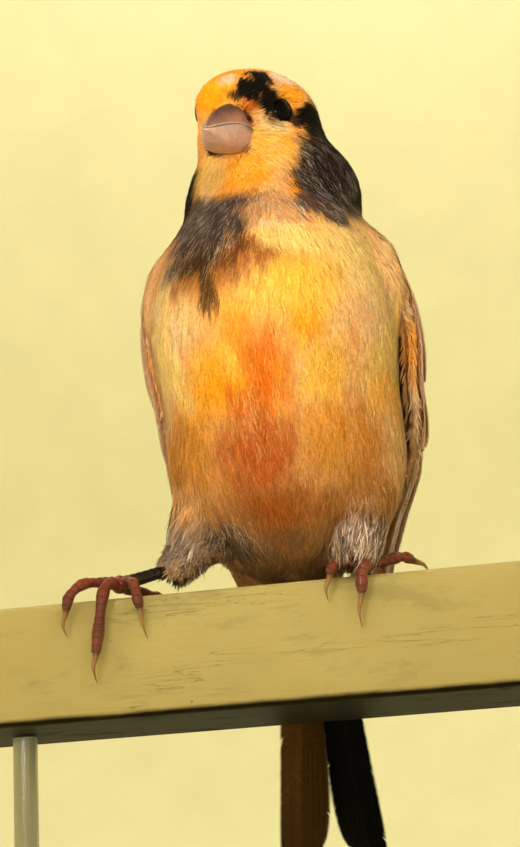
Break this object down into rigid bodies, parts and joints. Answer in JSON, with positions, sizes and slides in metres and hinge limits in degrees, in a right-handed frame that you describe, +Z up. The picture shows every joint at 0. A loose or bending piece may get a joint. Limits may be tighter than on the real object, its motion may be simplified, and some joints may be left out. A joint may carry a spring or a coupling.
{
  "type": "canary on a perch",
  "caption": "Life-size canary with orange, buff and black plumage, gripping a cut length of painted rail on a plain display stand.",
  "frame": {"origin": "middle of the stand base's underside", "axes": "+Z up; the rail runs along X; the bird faces -Y, so its left side is +X"},
  "size_m": [0.112, 0.092, 0.1502],
  "materials": {
    "plumage": "soft overlapping feathers, orange and pink-buff with black on crown, nape and collar",
    "flight_feathers": "stiff vanes, pale pink-buff with pale edges on the wings, brown and black in the tail",
    "bill_horn": "satin pinkish horn, darker on the upper half",
    "eye": "wet black",
    "leg_scales": "horny scutes, near black on the shanks and red-brown on the toes",
    "claw_horn": "thin translucent horn",
    "painted_wood": "old pale yellow paint with fine cracks along the grain and grey scuffs",
    "stand_metal": "satin, plain"
  },
  "bodies": {
    "root": {"head": "plumage", "neck": "plumage", "torso": "plumage", "thigh_left": "plumage", "thigh_right": "plumage", "wing_left": "flight_feathers", "wing_right": "flight_feathers", "tail": "flight_feathers", "bill_upper": "bill_horn", "bill_lower": "bill_horn", "eye_left": "eye", "eye_right": "eye", "tarsus_left": "leg_scales", "tarsus_right": "leg_scales", "foot_left": "leg_scales", "foot_right": "leg_scales", "claw_outer_left": "claw_horn", "claw_outer_right": "claw_horn", "claw_middle_left": "claw_horn", "claw_middle_right": "claw_horn", "claw_inner_left": "claw_horn", "claw_inner_right": "claw_horn", "claw_hind_left": "claw_horn", "claw_hind_right": "claw_horn", "perch_rail": "painted_wood", "stand_base": "stand_metal", "stand_rod_left": "stand_metal", "stand_rod_right": "stand_metal"}
  },
  "joints": []
}
